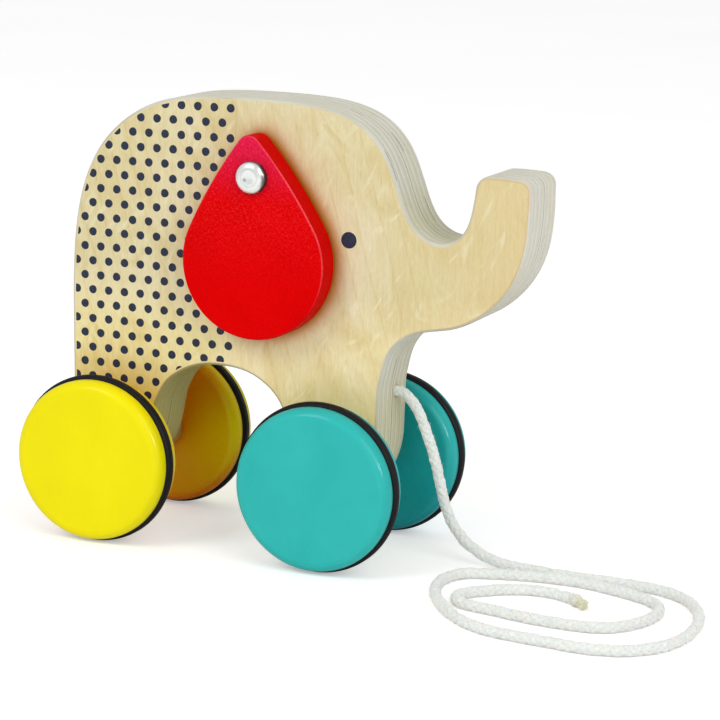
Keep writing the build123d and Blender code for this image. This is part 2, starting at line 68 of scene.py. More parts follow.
# The elephant's profile: pairs of X and Z in hundredths of a millimetre,
# anticlockwise seen from the right.
PROFILE = """
-5160 6200  -5159 6140  -5157 6080  -5156 6020  -5154 5960  -5153 5900  -5151 5840  -5150 5780  -5148 5720
-5146 5660  -5145 5600  -5144 5540  -5142 5480  -5140 5420  -5139 5360  -5138 5300  -5136 5240  -5134 5180
-5133 5120  -5132 5060  -5130 5000  -5128 4940  -5127 4880  -5126 4820  -5124 4760  -5122 4700  -5121 4640
-5119 4580  -5118 4520  -5116 4460  -5115 4400  -5113 4340  -5112 4280  -5110 4220  -5109 4160  -5107 4100
-5106 4040  -5104 3980  -5103 3920  -5101 3860  -5100 3800  -5098 3740  -5097 3680  -5095 3620  -5094 3559
-5092 3499  -5090 3439  -5088 3379  -5085 3319  -5082 3259  -5079 3199  -5073 3139  -5066 3079  -5054 3020
-5038 2963  -5018 2906  -5000 2848  -4982 2791  -4963 2734  -4944 2677  -4924 2620  -4904 2563  -4882 2507
-4858 2452  -4834 2397  -4807 2343  -4778 2290  -4747 2239  -4713 2189  -4676 2142  -4637 2096  -4595 2053
-4551 2012  -4504 1974  -4455 1939  -4405 1907  -4353 1877  -4299 1850  -4244 1825  -4188 1804  -4130 1785
-4072 1770  -4014 1757  -3954 1748  -3894 1742  -3834 1740  -3774 1741  -3714 1747  -3655 1755  -3596 1767
-3537 1782  -3480 1800  -3424 1822  -3369 1845  -3315 1872  -3262 1901  -3211 1933  -3161 1967  -3113 2003
-3067 2042  -3022 2082  -2979 2124  -2938 2167  -2898 2213  -2860 2259  -2824 2308  -2790 2357  -2757 2407
-2727 2459  -2698 2512  -2671 2566  -2646 2621  -2623 2676  -2603 2733  -2584 2790  -2567 2847  -2551 2906
-2537 2964  -2524 3023  -2512 3082  -2501 3141  -2490 3200  -2480 3257  -2469 3314  -2459 3371  -2449 3429
-2439 3486  -2428 3543  -2418 3600  -2407 3659  -2397 3718  -2386 3777  -2375 3836  -2364 3895  -2351 3954
-2330 4010  -2304 4064  -2279 4119  -2254 4173  -2228 4227  -2202 4281  -2174 4334  -2145 4387  -2114 4438
-2081 4488  -2046 4537  -2008 4584  -1968 4628  -1926 4671  -1882 4712  -1836 4750  -1789 4787  -1740 4822
-1691 4856  -1640 4889  -1589 4921  -1538 4951  -1485 4981  -1432 5009  -1379 5036  -1324 5061  -1269 5085
-1214 5108  -1158 5128  -1101 5148  -1043 5165  -985 5180  -927 5194  -868 5206  -809 5216  -749 5225
-690 5232  -630 5238  -570 5242  -510 5246  -450 5248  -390 5249  -330 5250  -270 5250  -210 5249
-150 5247  -91 5244  -31 5241  29 5236  89 5230  148 5223  208 5214  267 5204  326 5193
384 5180  443 5165  500 5148  557 5130  614 5110  670 5088  725 5065  780 5040  833 5013
886 4985  939 4955  990 4924  1040 4891  1090 4857  1138 4822  1185 4785  1232 4747  1277 4707
1320 4666  1363 4623  1403 4579  1442 4534  1480 4487  1515 4439  1549 4389  1581 4338  1610 4286
1638 4232  1663 4178  1686 4123  1708 4067  1727 4010  1743 3952  1759 3894  1772 3836  1785 3777
1796 3718  1807 3659  1818 3600  1828 3543  1839 3486  1849 3429  1859 3371  1869 3314  1880 3257
1890 3200  1901 3141  1912 3081  1923 3022  1934 2963  1947 2904  1962 2845  1981 2788  2003 2732
2027 2677  2053 2622  2079 2568  2106 2514  2135 2461  2164 2408  2195 2356  2228 2306  2263 2256
2299 2208  2338 2162  2379 2118  2422 2075  2467 2035  2514 1997  2562 1962  2613 1929  2665 1898
2719 1871  2773 1845  2829 1823  2886 1802  2944 1785  3002 1770  3061 1758  3121 1749  3181 1743
3241 1740  3302 1740  3362 1743  3422 1750  3481 1760  3540 1772  3599 1788  3656 1807  3712 1829
3767 1853  3821 1881  3873 1912  3923 1945  3972 1980  4019 2018  4065 2058  4108 2100  4150 2143
4189 2189  4227 2236  4263 2285  4296 2335  4328 2386  4358 2438  4386 2492  4412 2546  4436 2601
4459 2657  4480 2714  4500 2771  4519 2828  4536 2886  4552 2944  4567 3003  4580 3061  4592 3120
4603 3180  4613 3239  4621 3299  4627 3359  4633 3419  4637 3479  4639 3540  4640 3600  4640 3659
4641 3718  4641 3776  4641 3835  4641 3894  4642 3953  4642 4012  4642 4071  4643 4129  4643 4188
4643 4247  4644 4306  4644 4365  4644 4424  4644 4482  4645 4541  4645 4600  4645 4660  4646 4720
4647 4780  4648 4840  4649 4900  4651 4961  4654 5021  4659 5081  4665 5140  4674 5200  4687 5258
4699 5317  4711 5376  4722 5435  4734 5494  4745 5553  4758 5612  4771 5671  4785 5729  4800 5787
4816 5845  4834 5903  4854 5959  4876 6015  4901 6070  4927 6124  4956 6177  4988 6228  5021 6278
5057 6326  5095 6372  5136 6417  5178 6460  5221 6501  5267 6540  5314 6578  5362 6613  5412 6647
5464 6678  5516 6708  5570 6735  5624 6759  5680 6782  5736 6803  5793 6822  5851 6839  5909 6855
5967 6869  6026 6883  6085 6895  6144 6907  6203 6917  6262 6928  6321 6938  6380 6949  6440 6959
6499 6970  6558 6982  6616 6995  6675 7008  6733 7024  6791 7040  6848 7058  6905 7077  6962 7098
7018 7120  7073 7143  7128 7168  7182 7193  7236 7220  7289 7248  7342 7277  7394 7307  7446 7338
7497 7369  7547 7402  7597 7436  7646 7471  7694 7507  7742 7543  7789 7581  7835 7619  7880 7659
7925 7699  7969 7740  8012 7782  8054 7824  8096 7868  8137 7912  8176 7957  8215 8003  8253 8049
8291 8097  8327 8145  8362 8193  8396 8243  8430 8293  8462 8343  8493 8395  8524 8447  8553 8499
8581 8552  8608 8606  8634 8660  8659 8715  8682 8770  8705 8826  8726 8882  8747 8938  8766 8995
8784 9053  8801 9111  8816 9169  8831 9227  8844 9285  8857 9344  8869 9403  8879 9462  8889 9522
8898 9581  8906 9641  8914 9700  8921 9760  8927 9820  8933 9880  8938 9939  8942 9999  8947 10059
8950 10119  8953 10179  8955 10239  8957 10300  8959 10360  8960 10420  8960 10480  8960 10540  8960 10600
8959 10657  8959 10714  8958 10771  8957 10828  8956 10885  8956 10942  8955 10999  8954 11056  8948 11115
8933 11172  8909 11226  8875 11276  8835 11319  8787 11355  8735 11382  8678 11401  8620 11410  8559 11414
8498 11418  8438 11421  8377 11424  8317 11426  8256 11428  8195 11429  8134 11430  8074 11430  8013 11430
7952 11430  7892 11429  7831 11427  7770 11426  7710 11423  7650 11417  7593 11402  7538 11378  7487 11348
7440 11310  7400 11267  7366 11218  7339 11164  7320 11108  7310 11049  7305 11005  7300 10960  7293 10900
7286 10841  7278 10781  7270 10722  7260 10663  7251 10604  7241 10545  7231 10485  7221 10426  7210 10367
7198 10309  7185 10250  7170 10192  7154 10134  7136 10077  7116 10020  7094 9965  7069 9910  7041 9857
7010 9806  6976 9757  6939 9710  6899 9665  6856 9624  6809 9585  6761 9550  6710 9519  6656 9491
6601 9467  6545 9448  6487 9432  6428 9421  6368 9415  6308 9414  6249 9417  6189 9424  6130 9436
6072 9451  6015 9470  5960 9491  5905 9516  5852 9544  5800 9575  5751 9608  5702 9644  5656 9682
5612 9722  5569 9765  5529 9809  5491 9856  5455 9903  5421 9953  5389 10004  5359 10055  5330 10108
5303 10161  5277 10215  5252 10270  5227 10325  5204 10380  5181 10435  5159 10491  5137 10547  5116 10603
5095 10659  5074 10715  5053 10771  5032 10828  5011 10884  4990 10940  4969 10996  4948 11052  4926 11108
4904 11164  4882 11220  4859 11275  4836 11330  4812 11385  4787 11440  4761 11494  4735 11548  4708 11601
4680 11654  4650 11706  4620 11758  4589 11809  4557 11860  4523 11910  4488 11959  4452 12006  4415 12053
4377 12099  4337 12144  4296 12188  4254 12231  4211 12273  4167 12314  4122 12353  4076 12392  4029 12429
3981 12465  3932 12500  3883 12533  3832 12565  3780 12596  3728 12625  3675 12653  3622 12680  3567 12705
3512 12730  3457 12753  3401 12774  3345 12795  3288 12815  3231 12833  3174 12851  3116 12868  3059 12883
3000 12898  2942 12912  2884 12925  2825 12937  2766 12948  2707 12959  2648 12969  2589 12978  2529 12987
2470 12995  2410 13002  2351 13009  2291 13015  2231 13021  2172 13026  2112 13031  2052 13035  1992 13039
1932 13043  1873 13046  1813 13049  1753 13052  1693 13055  1633 13057  1573 13060  1513 13062  1453 13063
1393 13065  1333 13067  1273 13068  1214 13069  1154 13070  1094 13071  1034 13071  974 13072  914 13072
854 13072  794 13073  734 13073  674 13072  614 13072  554 13072  494 13072  434 13071  374 13071
314 13070  254 13070  194 13069  134 13068  74 13067  14 13066  -45 13065  -105 13064  -165 13063
-225 13061  -285 13060  -345 13058  -405 13056  -465 13054  -525 13052  -585 13050  -645 13047  -705 13044
-765 13041  -824 13037  -884 13034  -944 13030  -1004 13026  -1064 13021  -1123 13017  -1183 13011  -1243 13006
-1303 13000  -1362 12994  -1422 12988  -1481 12981  -1541 12973  -1600 12965  -1660 12957  -1719 12948  -1778 12938
-1837 12928  -1896 12917  -1955 12906  -2014 12893  -2072 12880  -2130 12866  -2189 12852  -2246 12836  -2304 12820
-2362 12802  -2419 12784  -2475 12765  -2532 12744  -2588 12723  -2644 12701  -2699 12678  -2754 12655  -2809 12630
-2863 12604  -2917 12578  -2970 12551  -3023 12523  -3076 12494  -3128 12464  -3179 12433  -3230 12402  -3281 12370
-3331 12337  -3381 12303  -3430 12269  -3478 12234  -3527 12198  -3574 12161  -3621 12124  -3667 12086  -3713 12047
-3758 12007  -3802 11967  -3846 11926  -3889 11884  -3931 11842  -3973 11799  -4014 11755  -4054 11710  -4093 11665
-4132 11619  -4170 11573  -4207 11526  -4243 11478  -4278 11429  -4313 11380  -4347 11331  -4379 11280  -4411 11230
-4443 11179  -4473 11127  -4503 11075  -4531 11022  -4559 10969  -4587 10916  -4613 10862  -4639 10808  -4663 10753
-4687 10698  -4711 10643  -4733 10587  -4755 10531  -4776 10475  -4796 10419  -4815 10362  -4834 10305  -4852 10248
-4870 10191  -4886 10133  -4902 10075  -4918 10017  -4933 9959  -4947 9901  -4960 9843  -4973 9784  -4986 9725
-4998 9667  -5009 9608  -5020 9549  -5031 9490  -5041 9431  -5050 9371  -5059 9312  -5068 9253  -5076 9193
-5084 9134  -5091 9074  -5098 9015  -5104 8955  -5111 8896  -5117 8836  -5122 8776  -5127 8717  -5132 8657
-5137 8597  -5141 8537  -5145 8477  -5149 8418  -5152 8358  -5156 8298  -5159 8238  -5162 8178  -5164 8118
-5167 8058  -5169 7998  -5171 7938  -5173 7879  -5174 7819  -5176 7759  -5177 7699  -5178 7639  -5179 7579
-5179 7519  -5180 7459  -5180 7399  -5180 7339  -5180 7279  -5180 7219  -5179 7159  -5179 7099  -5178 7039
-5177 6979  -5176 6919  -5175 6859  -5174 6799  -5173 6739  -5172 6680  -5170 6620  -5169 6560  -5167 6500
-5166 6440  -5165 6380  -5163 6320  -5162 6260
"""
OUTLINE = np.array([int(word) for word in PROFILE.split()], float).reshape(-1, 2) / 100.0


# --- Helpers ---------------------------------------------------------------
def make_object(name, verts_mm, faces, mats, mat_ids=None, smooth=None, attrs=None):
    mesh = bpy.data.meshes.new(name)
    mesh.from_pydata((np.asarray(verts_mm, float) * MM).tolist(), [], faces)
    for mat in mats:
        mesh.materials.append(mat)
    if mat_ids is not None:
        mesh.polygons.foreach_set("material_index", np.asarray(mat_ids, np.int32))
    if smooth is None:
        smooth = np.ones(len(faces), bool)
    mesh.polygons.foreach_set("use_smooth", np.asarray(smooth, bool))
    for key, values in (attrs or {}).items():
        attribute = mesh.attributes.new(key, "FLOAT", "POINT")
        attribute.data.foreach_set("value", np.asarray(values, np.float32))
    mesh.update()
    ob = bpy.data.objects.new(name, mesh)
    scene.collection.objects.link(ob)
    return ob


def waves(along, length, shortest, longest, count, seed):
    """A smooth closed wobble, about -1 to 1, that repeats over length."""
    rng = np.random.default_rng(seed)
    total = np.zeros_like(along)
    for _ in range(count):
        wavelength = math.exp(rng.uniform(math.log(shortest), math.log(longest)))
        cycles = max(1, round(length / wavelength))
        total += rng.uniform(0.4, 1.0) * np.sin(
            2 * math.pi * cycles * along / length + rng.uniform(0, 6.283))
    return total / math.sqrt(count)


def unit(vectors, guard=0.0):
    return vectors / (np.linalg.norm(vectors, axis=1)[:, None] + guard)


def circle(centre, radius, count):
    angle = np.linspace(0, 2 * math.pi, count, endpoint=False)
    return np.array(centre) + radius * np.stack([np.cos(angle), np.sin(angle)], 1)


def centre_xz(node):
    lo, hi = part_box(node)
    return ((lo.x + hi.x) / 2 / MM, (lo.z + hi.z) / 2 / MM)


def joint_place(name):
    return Vector(next(j for j in frame["joints"] if j["name"] == name)["pos_m"]) / MM


def srgb(r, g, b):
    """Linear RGBA from 0-255 sRGB."""
    def linear(c):
        c /= 255.0
        return c / 12.92 if c <= 0.04045 else ((c + 0.055) / 1.055) ** 2.4

    return (linear(r), linear(g), linear(b), 1.0)


def dim(colour, share):
    return tuple(c * share for c in colour[:3]) + (1,)


class Material:
    """A node material built up a step at a time."""

    def __init__(self, name):
        self.material = bpy.data.materials.new(name)
        self.material.use_nodes = True
        self.tree = self.material.node_tree
        self.tree.nodes.clear()
        self.bsdf = self.new("BsdfPrincipled")
        self.new("OutputMaterial", {"Surface": self.bsdf.outputs["BSDF"]})

    def put(self, node, key, value):
        socket = node.inputs[key]
        if isinstance(value, bpy.types.NodeSocket):
            self.tree.links.new(value, socket)
        else:
            socket.default_value = value

    def new(self, kind, inputs=None, **props):
        node = self.tree.nodes.new("ShaderNode" + kind)
        for key, value in props.items():
            setattr(node, key, value)
        for key, value in (inputs or {}).items():
            self.put(node, key, value)
        return node

    def coords(self, per_mm=(1.0, 1.0, 1.0), turn=0):
        """Object coordinates turned about Y, then scaled to units per millimetre."""
        vector = self.new("TexCoord").outputs["Object"]
        if turn:
            turned = self.new("Mapping", {"Vector": vector, "Rotation": (0, turn, 0)})
            vector = turned.outputs["Vector"]
        scale = tuple(1000 * s for s in per_mm)
        return self.new("Mapping", {"Vector": vector, "Scale": scale}).outputs["Vector"]

    def place(self):
        """The X, Y and Z sockets of the position in millimetres."""
        return self.new("SeparateXYZ", {"Vector": self.coords()}).outputs

    def noise(self, where, detail=2.0, rough=0.5, distort=0.0, turn=0):
        """Noise on a vector socket, or on coordinates given as units per millimetre."""
        if not isinstance(where, bpy.types.NodeSocket):
            where = self.coords(where, turn)
        return self.new("TexNoise", {
            "Vector": where, "Scale": 1.0, "Detail": detail,
            "Roughness": rough, "Distortion": distort}).outputs["Fac"]

    def ramp(self, value, *stops):
        """Colours from stops of (position, colour)."""
        node = self.new("ValToRGB", {"Fac": value})
        elements = node.color_ramp.elements
        while len(elements) < len(stops):
            elements.new(0.5)
        for element, (position, colour) in zip(elements, stops):
            element.position = position
            element.color = colour
        return node.outputs["Color"]

    def fade(self, value, start, end, to=(0.0, 1.0)):
        """Runs smoothly between the two results in to, as value goes from start to end."""
        return self.new("MapRange", {
            "Value": value, "From Min": start, "From Max": end,
            "To Min": to[0], "To Max": to[1]}, interpolation_type="SMOOTHSTEP").outputs["Result"]

    def mix(self, amount, base, colour, blend="MIX"):
        return self.new("Mix", {0: amount, 6: base, 7: colour},
                        data_type="RGBA", blend_type=blend).outputs[2]

    def math(self, operation, a, b=0.0, clamp=False):
        return self.new("Math", {0: a, 1: b}, operation=operation, use_clamp=clamp).outputs[0]

    def times(self, product, *factors):
        for factor in factors:
            product = self.math("MULTIPLY", product, factor)
        return product

    def length(self, dx, dz):
        return self.math("SQRT", self.math("ADD", self.times(dx, dx), self.times(dz, dz)))

    def ring(self, distance, radius, width):
        """1 on a circle of this radius, down to 0 at width either side."""
        off = self.math("DIVIDE", self.math("SUBTRACT", distance, radius), width)
        return self.math("SUBTRACT", 1.0, self.math("ABSOLUTE", off), clamp=True)

    def shelter(self, reach, full, none):
        """1 where neighbours within reach close the surface in (openness up to full),
        0 in the open (openness from none)."""
        node = self.new("AmbientOcclusion", {"Distance": reach * MM}, samples=6)
        return self.fade(node.outputs["AO"], full, none, to=(1.0, 0.0))

    def attr(self, name):
        return self.new("Attribute", attribute_name=name).outputs["Fac"]

    def facing(self, axis):
        """One component of the surface's own direction, without the bumps."""
        normal = self.new("NewGeometry").outputs["Normal"]
        return self.new("SeparateXYZ", {"Vector": normal}).outputs[axis]

    def bumps(self, *layers, normal=None):
        """Bumps laid over each other, each (height, distance in mm, strength)."""
        for height, distance, strength in layers:
            inputs = {"Height": height, "Distance": distance * MM, "Strength": strength}
            if normal is not None:
                inputs["Normal"] = normal
            normal = self.new("Bump", inputs).outputs["Normal"]
        return normal

    def finish(self, **inputs):
        for key, value in inputs.items():
            self.put(self.bsdf, key.replace("_", " "), value)
        return self.material


# --- Materials -------------------------------------------------------------
def long_fibres(mat):
    return mat.noise((1.30, 1.2, 0.055), detail=4, rough=0.62, distort=0.3)


def birch_face():
    """Rotary-cut birch veneer, bare: cream, warmer towards the trunk, with soft
    clouds, long fibres, a few pale wavy figures and fine brown pores."""
    mat = Material("birch_face")
    slow = mat.noise((0.020, 0.02, 0.013), detail=3, distort=0.5)
    cloud = mat.noise((0.085, 0.08, 0.040), detail=4, rough=0.55, distort=1.2, turn=0.45)
    base = mat.ramp(cloud, (0.28, srgb(214, 195, 145)), (0.44, srgb(229, 213, 169)),
                    (0.56, srgb(238, 225, 187)), (0.72, srgb(221, 202, 153)))
    base = mat.mix(mat.fade(slow, 0.40, 0.66, to=(0.0, 0.50)), base, srgb(222, 204, 156))
    # warmer along the head and the trunk, with a cloudy border
    x = mat.place()["X"]
    border = mat.times(mat.math("SUBTRACT", cloud, 0.5), 34.0)
    warm = mat.fade(mat.math("ADD", x, border), 34.0, 88.0)
    base = mat.mix(mat.times(warm, 0.72), base, srgb(228, 201, 150))
    # figure: broad wavy bands left by the peeling knife
    bands = mat.new("TexWave", {
        "Vector": mat.coords((0.052, 0.05, 0.014), turn=0.30), "Scale": 1.0,
        "Distortion": 5.5, "Detail": 2.0, "Detail Scale": 0.7, "Detail Roughness": 0.55,
    }, bands_direction="X", wave_profile="SAW").outputs["Fac"]
    figure = mat.times(mat.fade(bands, 0.80, 1.0), mat.fade(slow, 0.42, 0.62, to=(0.05, 0.42)))
    base = mat.mix(figure, base, srgb(208, 181, 122))
    pale = mat.noise((0.16, 0.15, 0.05), distort=2.4, turn=-0.55)
    base = mat.mix(mat.fade(pale, 0.55, 0.74, to=(0.0, 0.62)), base, srgb(246, 234, 198))
    # long fibres
    fibre = long_fibres(mat)
    fibre_colour = mat.ramp(fibre, (0.30, srgb(214, 196, 148)), (0.52, srgb(238, 222, 178)),
                            (0.74, srgb(250, 238, 202)))
    base = mat.mix(0.55, base, fibre_colour, "SOFT_LIGHT")
    fine = mat.noise((4.0, 4.0, 0.55), rough=0.6)
    base = mat.mix(mat.fade(fine, 0.30, 0.70, to=(0.16, 0.0)), base, srgb(196, 172, 120))
    # pores: short thin brown dashes
    pore = mat.noise((3.1, 3.0, 0.42), detail=1, rough=0.4)
    pore = mat.times(mat.fade(pore, 0.70, 0.78), mat.fade(slow, 0.35, 0.6, to=(0.05, 0.24)))
    base = mat.mix(pore, base, srgb(170, 134, 84))
    # painted shade: warm orange in the corners the parts shelter
    painted_corner_shade = mat.times(mat.shelter(reach=5.0, full=0.50, none=0.96), 1.0)
    base = mat.mix(painted_corner_shade, base, srgb(194, 112, 2))
    # painted yellow light bounced off the wheels, low down in sheltered places, stronger towards the rear
    painted_wheel_bounce = mat.times(mat.shelter(reach=18.0, full=0.45, none=0.88),
                     mat.fade(mat.place()["Z"], 64.0, 50.0))
    painted_wheel_bounce = mat.times(painted_wheel_bounce, mat.fade(x, 4.0, 24.0, to=(0.75, 0.30)))
    base = mat.mix(painted_wheel_bounce, base, srgb(220, 188, 44))
    # darker up the body, paler on the legs and in a patch behind the trunk,
    # and painted yellow light bounced off the rear wheels low down at the rear
    z = mat.place()["Z"]
    patch = mat.times(mat.times(mat.fade(x, 14.0, 26.0), mat.fade(x, 60.0, 42.0)),
                      mat.times(mat.fade(z, 114.0, 98.0), mat.fade(z, 64.0, 76.0)))
    painted_rear_wheel_bounce = mat.times(mat.fade(z, 74.0, 58.0), mat.fade(x, 6.0, -8.0))
    for amount, tint in (
        (mat.fade(z, 52.0, 84.0), (0.86, 0.89, 0.94, 1)),
        (mat.fade(z, 78.0, 56.0), (1.10, 1.11, 1.17, 1)),
        (patch, (1.05, 1.06, 1.15, 1)),
        (painted_rear_wheel_bounce, (0.92, 0.92, 0.74, 1)),
    ):
        base = mat.mix(amount, base, tint, "MULTIPLY")
    # the sanded arris: paler, with a thin burnished line where it starts
    base = mat.mix(mat.times(mat.attr("arris"), 0.18), base, srgb(246, 236, 208))
    patchy = mat.times(mat.fade(cloud, 0.36, 0.58, to=(0.45, 1.0)),
                       mat.fade(x, 66.0, 86.0, to=(0.28, 0.95)))
    base = mat.mix(mat.times(mat.attr("burnish"), patchy), base, srgb(210, 152, 74))
    return mat.finish(
        Base_Color=base, Roughness=mat.fade(fibre, 0.3, 0.7, to=(0.46, 0.60)),
        Normal=mat.bumps((fibre, 0.05, 0.35), (fine, 0.02, 0.35), (pore, -0.05, 0.5)),
        Specular_IOR_Level=0.35)


def birch_edge():
    """Sawn and sanded plywood edge: plies that turn by a quarter, thin glue
    lines, the dark middle seam and a few open voids."""
    mat = Material("birch_edge")
    streak = mat.noise((0.10, 2.6, 0.10), detail=3, rough=0.6, distort=0.2)
    fleck = mat.noise((1.4, 3.2, 1.4), detail=3, rough=0.65)
    slow = mat.noise((0.045, 0.10, 0.045))
    long_ply = mat.ramp(streak, (0.30, srgb(210, 209, 194)), (0.5, srgb(222, 221, 209)),
                        (0.7, srgb(230, 230, 220)))
    end_ply = mat.ramp(fleck, (0.30, srgb(194, 191, 172)), (0.5, srgb(208, 207, 190)),
                       (0.72, srgb(220, 219, 205)))
    base = mat.mix(mat.attr("end_grain"), long_ply, end_ply)
    base = mat.mix(mat.fade(slow, 0.40, 0.65, to=(0.0, 0.22)), base, srgb(214, 205, 170))
    # glue lines: patchy, and stronger low on the legs
    place = mat.place()
    x, z = place["X"], place["Z"]
    broken = mat.noise((0.13, 0.9, 0.13), detail=3, rough=0.6)
    line = mat.times(mat.attr("glue"), mat.fade(broken, 0.36, 0.66, to=(0.06, 0.68)),
                     mat.fade(x, 36.0, 70.0, to=(0.70, 1.0)))
    line = mat.mix(mat.fade(z, 64.0, 52.0), line, mat.times(mat.attr("glue"), 0.92))
    # painted shade low down, darker and yellower, and painted light on the trunk, paler
    base = mat.mix(mat.times(mat.fade(z, 60.0, 40.0), 0.45), base, srgb(206, 200, 156))
    base = mat.mix(mat.times(mat.fade(x, 78.0, 92.0), 0.40), base, srgb(232, 228, 214))
    # painted shade, tinted by the wheels' light: greener and darker between the wheels, most beside the yellow
    # rear ones
    painted_wheel_shade = mat.times(mat.fade(z, 62.0, 50.0), mat.fade(x, 8.0, -8.0, to=(0.0, 0.72)),
                      mat.fade(x, -46.0, -38.0))
    base = mat.mix(painted_wheel_shade, base, srgb(178, 166, 66))
    shade = mat.times(mat.shelter(reach=24.0, full=0.40, none=0.86),
                      mat.fade(x, 10.0, -6.0, to=(0.62, 0.95)))
    base = mat.mix(shade, base, srgb(176, 168, 82))
    base = mat.mix(line, base, srgb(140, 122, 82))
    # a warm line where the sanding broke through the face veneer
    arris = mat.times(mat.attr("arris"), mat.fade(slow, 0.40, 0.60, to=(0.75, 1.0)))
    base = mat.mix(arris, base, (0.80, 0.79, 0.74, 1), "MULTIPLY")
    burnish = mat.times(mat.attr("burnish"), mat.fade(slow, 0.40, 0.60, to=(0.3, 0.8)),
                        mat.fade(x, 20.0, 84.0, to=(0.5, 1.0)))
    base = mat.mix(burnish, base, srgb(202, 164, 100))
    base = mat.mix(mat.attr("seam"), base, srgb(88, 72, 46))
    base = mat.mix(mat.attr("void"), base, srgb(92, 66, 44))
    return mat.finish(Base_Color=base, Normal=mat.bumps((streak, 0.08, 0.40), (fleck, 0.04, 0.45)),
                      Roughness=0.62, Specular_IOR_Level=0.3)


def print_ink():
    """Screen-printed navy, thin enough to let the fibres through."""
    mat = Material("print_ink")
    fibre = long_fibres(mat)
    cover = mat.noise((2.2, 2.0, 0.9), detail=3, rough=0.6)
    base = mat.ramp(cover, (0.28, srgb(38, 48, 74)), (0.5, srgb(28, 37, 61)),
                    (0.75, srgb(22, 29, 51)))
    base = mat.mix(mat.fade(fibre, 0.62, 0.82, to=(0.0, 0.20)), base, srgb(90, 90, 104))
    return mat.finish(Base_Color=base, Roughness=mat.fade(cover, 0.3, 0.7, to=(0.42, 0.58)),
                      Normal=mat.bumps((fibre, 0.03, 0.4)), Specular_IOR_Level=0.4)


def dowel_wood():
    """Beech dowel: fibres along Y and short darker rays."""
    mat = Material("beech_dowel")
    fibre = mat.noise((2.2, 0.07, 2.2), detail=4, rough=0.6, distort=0.2)
    ray = mat.noise((2.6, 0.55, 0.9))
    base = mat.ramp(fibre, (0.3, srgb(205, 170, 124)), (0.5, srgb(222, 190, 145)),
                    (0.72, srgb(234, 207, 166)))
    base = mat.mix(mat.fade(ray, 0.66, 0.76, to=(0.0, 0.6)), base, srgb(168, 124, 80))
    return mat.finish(Base_Color=base, Roughness=mat.fade(fibre, 0.3, 0.7, to=(0.48, 0.62)),
                      Normal=mat.bumps((fibre, 0.06, 0.5)), Specular_IOR_Level=0.35)


def lacquer_tone(mat, low, mid, high):
    """The lacquer's slow colour drift, and its colour."""
    tone = mat.noise((0.055, 0.06, 0.055), detail=3, distort=0.4)
    return tone, mat.ramp(tone, (0.32, low), (0.5, mid), (0.70, high))


def lacquer_surface(mat, base, low):
    """Fine orange peel over faint grain, with tiny dust nibs: colour, normal, peel."""
    peel = mat.noise((1.5, 1.5, 1.5))
    grain = mat.noise((1.9, 0.5, 0.09), detail=4, rough=0.6, distort=0.3)
    nibs = mat.new("TexVoronoi", {
        "Vector": mat.coords((0.55, 0.55, 0.55)), "Scale": 1.0, "Randomness": 1.0})
    nib = mat.fade(nibs.outputs["Distance"], 0.045, 0.02)
    base = mat.mix(mat.fade(grain, 0.34, 0.66, to=(0.04, 0.0)), base, dim(low, 0.72))
    return base, mat.bumps((peel, 0.035, 0.30), (grain, 0.03, 0.28), (nib, 0.03, 0.5)), peel


def finish_lacquer(mat, base, normal, peel, rough, coat, specular):
    return mat.finish(
        Base_Color=base, Normal=normal,
        Roughness=mat.fade(peel, 0.3, 0.7, to=(rough - 0.04, rough + 0.06)),
        Specular_IOR_Level=specular, Coat_Weight=coat, Coat_Roughness=0.14)


def ear_lacquer():
    """Red lacquer with a woven texture, a painted pink sheen at the top, painted shade on the edge faces and a
    painted highlight on the arris.
    """
    mat = Material("red_lacquer")
    low, rim = srgb(220, 0, 1), srgb(250, 120, 130)
    tone, base = lacquer_tone(mat, low, srgb(227, 0, 2), srgb(232, 2, 5))
    height = mat.place()["Z"]
    # painted sheen: pinker towards the top
    top = mat.fade(height, 101.0, 122.0, to=(0.0, 0.55))
    base = mat.mix(top, base, srgb(236, 44, 104))
    # painted shade: the edge faces darker; painted highlight: a pale line on the arris, stronger on the right and
    # higher up
    across = mat.math("ABSOLUTE", mat.facing("Y"))
    base = mat.mix(mat.fade(across, 0.75, 0.30), base, srgb(212, 0, 1))
    painted_arris_highlight = mat.times(mat.fade(across, 0.97, 0.85), mat.fade(across, 0.40, 0.62),
                     mat.fade(mat.facing("X"), -0.25, 0.45, to=(0.16, 0.46)),
                     mat.fade(tone, 0.34, 0.56, to=(0.45, 1.0)),
                     mat.fade(height, 70.0, 96.0, to=(0.12, 1.0)))
    base = mat.mix(painted_arris_highlight, base, rim)
    base, normal, peel = lacquer_surface(mat, base, low)
    # weave: threads along X and along Z, dark in the gaps, and a painted pale sheen on the crossings of the flat
    # faces towards the top
    weave = mat.math("ADD", mat.noise((1.1, 1.0, 3.4), detail=3, rough=0.65),
                     mat.noise((3.4, 1.0, 1.1), detail=3, rough=0.65))
    base = mat.mix(mat.fade(weave, 0.80, 1.20, to=(0.36, 0.0)), base, dim(low, 0.62))
    flat = mat.fade(mat.math("ABSOLUTE", mat.facing("Y")), 0.7, 0.98)
    painted_top_sheen_flat = mat.times(mat.fade(height, 74.0, 104.0, to=(0.0, 0.09)), flat)
    base = mat.mix(mat.times(mat.fade(weave, 0.98, 1.25), painted_top_sheen_flat), base, rim)
    normal = mat.bumps((weave, 0.06, 0.6), normal=normal)
    return finish_lacquer(mat, base, normal, peel, rough=0.50, coat=0.0, specular=0.02)


